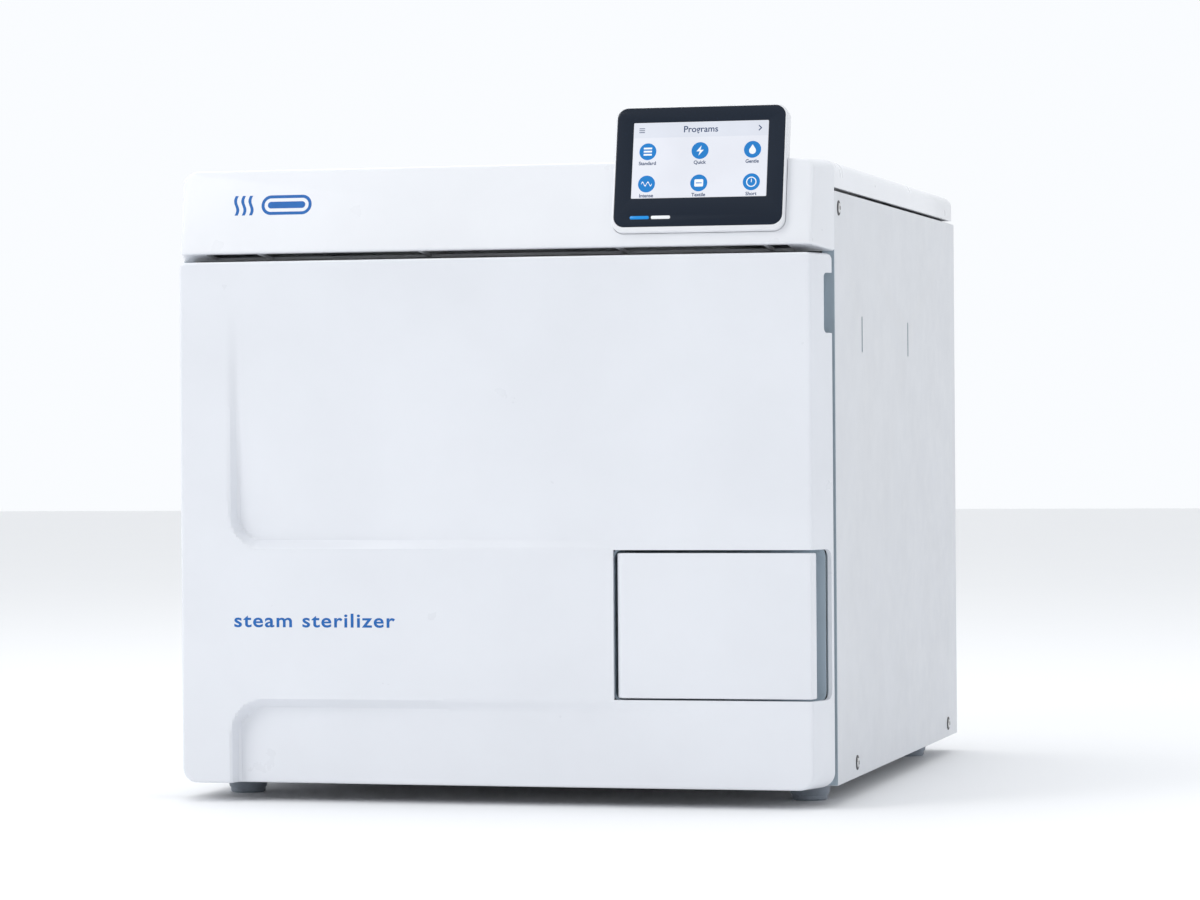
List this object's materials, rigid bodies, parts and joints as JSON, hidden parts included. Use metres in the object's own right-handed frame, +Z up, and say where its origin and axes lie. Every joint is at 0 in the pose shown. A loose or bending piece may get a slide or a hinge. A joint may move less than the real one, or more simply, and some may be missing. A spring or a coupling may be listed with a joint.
{
  "type": "benchtop autoclave",
  "caption": "Benchtop steam autoclave with a side-hinged moulded door, pull grip, leaning touch display, motor lock, chamber with trays, lift-off top cover over the tanks.",
  "frame": {"origin": "on the bench, under the middle of the overall box", "axes": "+Z up, the door faces -Y, +X to the right of a person who faces the door"},
  "size_m": [0.5542, 0.645, 0.5621],
  "materials": {
    "white_cover": "satin white paint or moulding",
    "painted_sheet": "light grey powder coat",
    "grey_plastic": "blue-grey, matte",
    "dark_plastic": "black, fine texture",
    "display_glass": "dark printed cover glass, gloss",
    "display_screen": "lit screen",
    "status_light": "light guide",
    "stainless": "brushed",
    "zinc_plated_steel": "zinc plated",
    "brass": "machined",
    "silicone": "matte",
    "rubber_foot": "matte",
    "insulation": "fibre mat",
    "tank_plastic": "translucent moulding",
    "circuit_board": "solder resist"
  },
  "bodies": {
    "casing": {"base_plate": "zinc_plated_steel", "front_panel": "stainless", "side_panel_left": "painted_sheet", "side_panel_right": "painted_sheet", "rear_panel": "painted_sheet", "header_cover": "white_cover", "side_screw_left_1": "stainless", "side_screw_left_2": "stainless", "side_screw_left_3": "stainless", "side_screw_right_1": "stainless", "side_screw_right_2": "stainless", "side_screw_right_3": "stainless", "display_housing": "white_cover", "display_glass": "display_glass", "display_screen": "display_screen", "status_light_left": "status_light", "status_light_right": "status_light", "pressure_chamber": "stainless", "chamber_insulation": "insulation", "chamber_stand": "zinc_plated_steel", "band_heater": "zinc_plated_steel", "tray_rack": "stainless", "tray_1": "stainless", "tray_2": "stainless", "tray_3": "stainless", "vacuum_pump": "zinc_plated_steel", "condenser": "stainless", "fan_shroud": "dark_plastic", "solenoid_manifold": "brass", "safety_valve": "brass", "main_board": "circuit_board", "mains_inlet": "dark_plastic", "power_switch_frame": "grey_plastic", "sterile_filter": "tank_plastic", "feed_water_tank": "tank_plastic", "waste_water_tank": "tank_plastic", "hinge_bracket": "zinc_plated_steel", "hinge_pin": "stainless", "lock_frame": "zinc_plated_steel", "lock_motor": "zinc_plated_steel", "foot_front_left": "rubber_foot", "foot_front_right": "rubber_foot", "foot_rear_left": "rubber_foot", "foot_rear_right": "rubber_foot"},
    "door": {"door_cover": "white_cover", "door_inner_cover": "grey_plastic", "door_plate": "stainless", "door_gasket": "silicone", "door_crossbar": "zinc_plated_steel", "striker": "stainless", "grip_recess": "grey_plastic", "grip_pin": "stainless", "grip_spring": "stainless"},
    "grip": {"closing_grip": "white_cover"},
    "lock_claw": {"lock_claw": "stainless"},
    "power_rocker": {"power_switch_rocker": "dark_plastic"},
    "top_cover": {"top_cover": "white_cover"},
    "fan": {"fan_rotor": "dark_plastic"},
    "valve_cap": {"safety_valve_cap": "brass"},
    "reset_button": {"overheat_reset_button": "dark_plastic"}
  },
  "joints": [
    {"name": "door_swing", "type": "hinge", "parent": "casing", "child": "door", "pos_m": [-0.254, -0.3025, 0.245], "axis": [0, 0, -1], "range_deg": [0, 105]},
    {"name": "grip_pull", "type": "hinge", "parent": "door", "child": "grip", "pos_m": [0.1105, -0.3085, 0.1458], "axis": [0, 0, -1], "range_deg": [0, 8], "stiffness_Nm_per_rad": 1.5},
    {"name": "lock_turn", "type": "hinge", "parent": "casing", "child": "lock_claw", "pos_m": [0.235, -0.2232, 0.245], "axis": [0, 0, 1], "range_deg": [0, 58]},
    {"name": "power_rock", "type": "hinge", "parent": "casing", "child": "power_rocker", "pos_m": [0.26, -0.291, 0.4026], "axis": [0, -1, 0], "range_deg": [0, 14]},
    {"name": "cover_lift", "type": "slide", "parent": "casing", "child": "top_cover", "axis": [0, 0, 1], "range_m": [0, 0.12]},
    {"name": "fan_spin", "type": "hinge", "parent": "casing", "child": "fan", "pos_m": [-0.197, 0.3065, 0.15], "axis": [0, -1, 0], "continuous": true},
    {"name": "valve_cap_turn", "type": "hinge", "parent": "casing", "child": "valve_cap", "pos_m": [0.06, 0.3075, 0.315], "axis": [0, 1, 0], "range_deg": [0, 360]},
    {"name": "reset_press", "type": "slide", "parent": "casing", "child": "reset_button", "axis": [0, -1, 0], "range_m": [0, 0.0025], "stiffness_N_per_m": 300}
  ]
}
